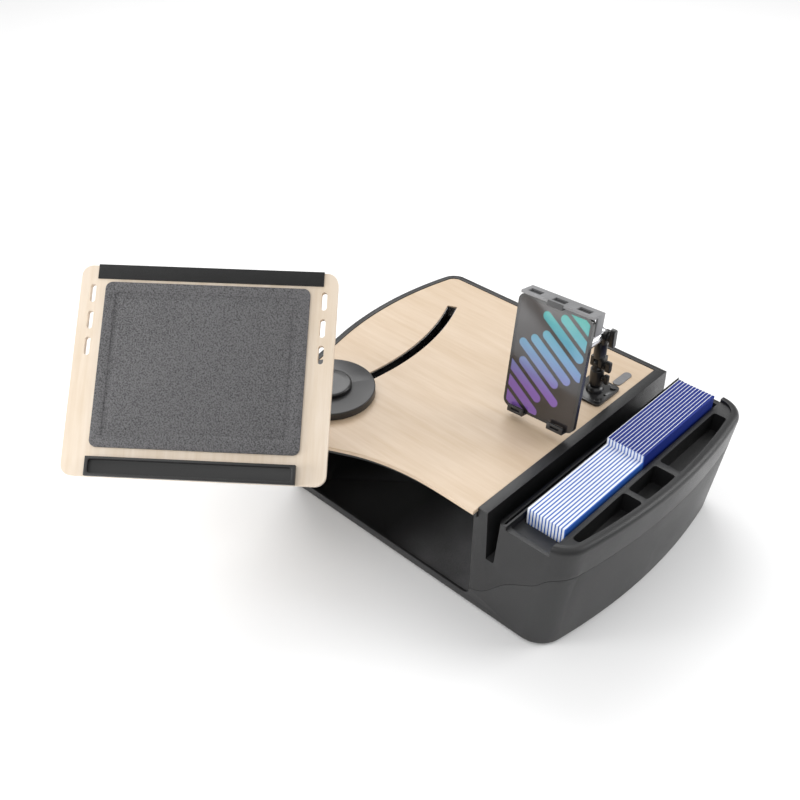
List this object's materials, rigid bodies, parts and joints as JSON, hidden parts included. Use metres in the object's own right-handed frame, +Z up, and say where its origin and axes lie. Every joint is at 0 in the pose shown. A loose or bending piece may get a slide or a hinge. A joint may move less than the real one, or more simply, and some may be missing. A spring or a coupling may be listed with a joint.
{
  "type": "vehicle seat desk",
  "caption": "Portable seat desk with open storage, file bay, belt channel, pivoting writing tray on a curved track and an adjustable tablet holder.",
  "frame": {"origin": "centre of the underside of the middle rubber foot, below the body's centre", "axes": "+Z up, +X towards the file bay and console, +Y to the rear, away from the storage opening"},
  "size_m": [0.7803, 0.8179, 0.4225],
  "materials": {
    "housing": "textured",
    "tub": "textured",
    "deck": "matte",
    "desk_wood": "satin",
    "tray_wood": "satin",
    "track": "satin",
    "steel": "satin",
    "black_steel": "gloss",
    "disc": "satin",
    "knob": "gloss",
    "nylon": "matte",
    "pad": "textured",
    "strap": "woven",
    "ledge": "satin",
    "feet": "matte",
    "badge": "satin",
    "cradle": "satin",
    "jaw": "satin",
    "tablet": "satin",
    "screen": "gloss",
    "cover": "satin",
    "paper": "matte"
  },
  "bodies": {
    "base": {"lower_tub": "tub", "upper_housing": "housing", "support_deck": "deck", "desktop_panel": "desk_wood", "slot_track": "track", "deck_screws": "steel", "track_screws": "steel", "housing_screws": "steel", "rubber_feet": "feet", "badge_plate": "badge", "holder_base": "black_steel", "holder_screws": "black_steel", "holder_nuts": "steel"},
    "carriage": {"track_shoe": "nylon", "pivot_bolt": "steel", "glide_washer": "nylon"},
    "swivel": {"swivel_disc": "disc", "swing_arm": "black_steel", "arm_screws": "steel", "arm_post": "black_steel", "tilt_yoke": "black_steel", "tilt_pin": "steel"},
    "disc_knob": {"swivel_knob": "knob"},
    "tray": {"tray_board": "tray_wood", "tray_pad": "pad", "top_strap": "strap", "pen_ledge": "ledge", "tray_bracket": "black_steel", "tray_screws": "steel"},
    "tray_knob": {"tilt_knob": "knob"},
    "holder_lower": {"lower_barrel": "black_steel"},
    "pan_knob": {"lower_knob": "knob"},
    "holder_upper": {"upper_barrel": "black_steel", "mid_pin": "steel", "head_pin": "steel"},
    "fold_knob": {"mid_knob": "knob"},
    "tilt_lock_knob": {"head_knob": "knob"},
    "reach": {"reach_arm": "steel"},
    "cradle": {"cradle_back": "cradle", "end_pin": "steel", "guide_rods": "steel", "jaw_pads": "feet", "tablet_shell": "tablet", "tablet_screen": "screen"},
    "jaw": {"top_jaw": "jaw"},
    "files": {"file_covers": "cover", "file_papers": "paper"}
  },
  "joints": [
    {"name": "carriage_slide", "type": "hinge", "parent": "base", "child": "carriage", "pos_m": [-0.611, -0.056, 0], "axis": [0, 0, 1], "range_deg": [-1.2, 24]},
    {"name": "arm_swivel", "type": "hinge", "parent": "carriage", "child": "swivel", "pos_m": [-0.19731, -0.18723, 0.2], "axis": [0, 0, 1], "range_deg": [-90, 4]},
    {"name": "disc_knob_turn", "type": "hinge", "parent": "carriage", "child": "disc_knob", "pos_m": [-0.19731, -0.18723, 0.215], "axis": [0, 0, 1], "range_deg": [0, 90]},
    {"name": "tray_tilt", "type": "hinge", "parent": "swivel", "child": "tray", "pos_m": [-0.2565, -0.37156, 0.2961], "axis": [0.7705, 0.6374, 0], "range_deg": [-41, 0]},
    {"name": "tilt_knob_turn", "type": "hinge", "parent": "swivel", "child": "tray_knob", "pos_m": [-0.2565, -0.37156, 0.2961], "axis": [0.7705, 0.6374, 0], "range_deg": [0, 90]},
    {"name": "holder_pan", "type": "hinge", "parent": "base", "child": "holder_lower", "pos_m": [0.104, 0.103, 0.21], "axis": [0, 0, 1], "range_deg": [-15, 8]},
    {"name": "pan_knob_turn", "type": "hinge", "parent": "holder_lower", "child": "pan_knob", "pos_m": [0.11, 0.103, 0.232], "axis": [1, 0, 0], "range_deg": [0, 90]},
    {"name": "holder_fold", "type": "hinge", "parent": "holder_lower", "child": "holder_upper", "pos_m": [0.104, 0.103, 0.256], "axis": [1, 0, 0], "range_deg": [-12, 0]},
    {"name": "fold_knob_turn", "type": "hinge", "parent": "holder_upper", "child": "fold_knob", "pos_m": [0.114, 0.103, 0.256], "axis": [1, 0, 0], "range_deg": [0, 90]},
    {"name": "reach_tilt", "type": "hinge", "parent": "holder_upper", "child": "reach", "pos_m": [0.104, 0.103, 0.309], "axis": [1, 0, 0], "range_deg": [-10, 0]},
    {"name": "head_knob_turn", "type": "hinge", "parent": "holder_upper", "child": "tilt_lock_knob", "pos_m": [0.114, 0.103, 0.309], "axis": [1, 0, 0], "range_deg": [0, 60]},
    {"name": "cradle_tilt", "type": "hinge", "parent": "reach", "child": "cradle", "pos_m": [0.104, 0.026, 0.309], "axis": [1, 0, 0], "range_deg": [-20, 0]},
    {"name": "jaw_slide", "type": "slide", "parent": "cradle", "child": "jaw", "axis": [-0.0464, 0.169, 0.9845], "range_m": [0, 0.02], "stiffness_N_per_m": 150},
    {"name": "files_lift", "type": "slide", "parent": "base", "child": "files", "axis": [0, 0, 1], "range_m": [0, 0.22]}
  ]
}
